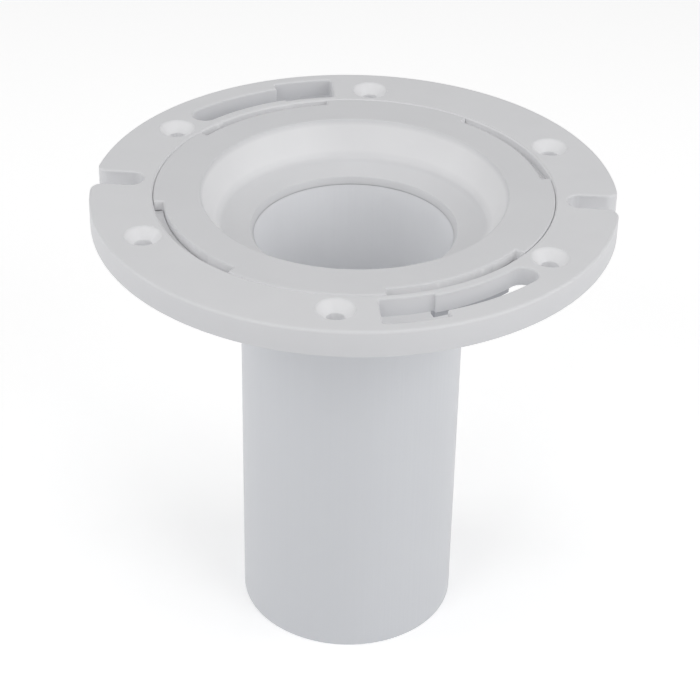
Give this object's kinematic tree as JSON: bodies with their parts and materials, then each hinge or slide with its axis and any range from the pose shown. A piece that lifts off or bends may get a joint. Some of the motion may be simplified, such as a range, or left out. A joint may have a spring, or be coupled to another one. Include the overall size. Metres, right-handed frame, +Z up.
{
  "type": "toilet flange",
  "caption": "White plastic toilet flange: a slotted swivel ring on a bowl-shaped hub, above a long straight pipe spigot.",
  "frame": {"origin": "centre of the spigot's lower end", "axes": "+Z up along the drain's axis, from the spigot's end to the ring's top face; +X through one of the ring's two open bolt notches"},
  "size_m": [0.177, 0.1778, 0.1684],
  "materials": {
    "ring_pvc": "satin moulded white PVC",
    "hub_pvc": "satin moulded white PVC",
    "pipe_pvc": "smooth extruded white PVC pipe, slightly blue"
  },
  "bodies": {
    "hub": {"flange_hub": "hub_pvc", "spigot_barrel": "pipe_pvc"},
    "ring": {"swivel_ring": "ring_pvc"}
  },
  "joints": [
    {"name": "ring_swivel", "type": "hinge", "parent": "hub", "child": "ring", "pos_m": [0, 0, 0.1646], "axis": [0, 0, 1], "continuous": true}
  ]
}
